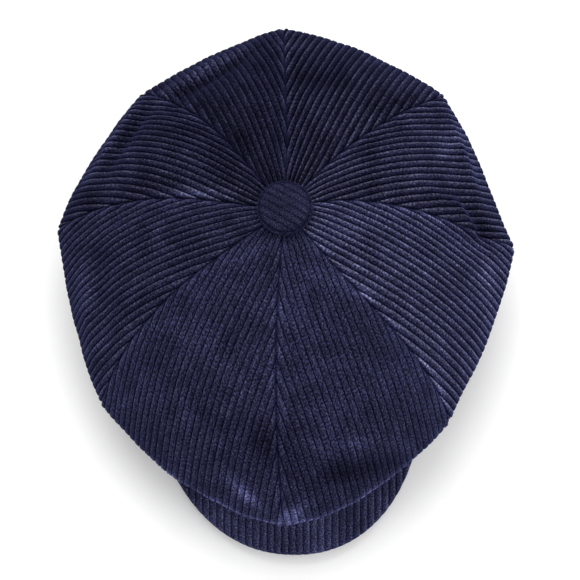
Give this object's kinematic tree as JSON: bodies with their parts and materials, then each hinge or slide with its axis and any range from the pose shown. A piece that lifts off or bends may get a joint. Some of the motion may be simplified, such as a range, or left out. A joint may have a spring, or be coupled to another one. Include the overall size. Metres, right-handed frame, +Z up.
{
  "type": "newsboy cap",
  "caption": "Soft full-crown cap of wedge-shaped corduroy gores with a cloth-covered top button, a standing headband, a lining and a short stiff brim.",
  "frame": {"origin": "middle of the head opening, in the plane of the headband's lower edge, which the cap rests on", "axes": "+Z up towards the button, -Y towards the brim, +X to the wearer's left"},
  "size_m": [0.265, 0.3025, 0.1137],
  "materials": {
    "corduroy": "navy wide-wale cotton corduroy, velvety pile",
    "lining_satin": "dark satin lining",
    "sweatband_cloth": "dark twill tape",
    "stiffener_felt": "pressed interlining",
    "board_plastic": "flexible visor board",
    "label_cloth": "blank woven label",
    "button_steel": "plain pressed steel",
    "sewing_thread": "waxed thread"
  },
  "bodies": {
    "crown": {"apex_patch": "stiffener_felt", "band_stiffener": "stiffener_felt", "gore_back_left": "corduroy", "gore_back_right": "corduroy", "gore_front_left": "corduroy", "gore_front_right": "corduroy", "gore_left_back": "corduroy", "gore_left_front": "corduroy", "gore_right_back": "corduroy", "gore_right_front": "corduroy", "headband": "corduroy", "lining_back_left": "lining_satin", "lining_back_right": "lining_satin", "lining_front_left": "lining_satin", "lining_front_right": "lining_satin", "lining_left_back": "lining_satin", "lining_left_front": "lining_satin", "lining_right_back": "lining_satin", "lining_right_front": "lining_satin", "maker_label_blank": "label_cloth", "size_label_blank": "label_cloth", "sweatband": "sweatband_cloth"},
    "brim": {"brim_board": "board_plastic", "brim_top_cloth": "corduroy", "brim_under_cloth": "corduroy"},
    "button": {"button_back_plate": "button_steel", "button_cover": "corduroy", "button_shank": "button_steel", "button_shell": "button_steel", "button_thread": "sewing_thread"}
  },
  "joints": [
    {"name": "brim_flex", "type": "hinge", "parent": "crown", "child": "brim", "pos_m": [0, -0.1, 0.012], "axis": [1, 0, 0], "range_deg": [-12, 15], "stiffness_Nm_per_rad": 1.2},
    {"name": "button_twist", "type": "hinge", "parent": "crown", "child": "button", "pos_m": [0, 0.022, 0.105], "axis": [0, 0, 1], "range_deg": [-30, 30], "stiffness_Nm_per_rad": 0.002}
  ]
}
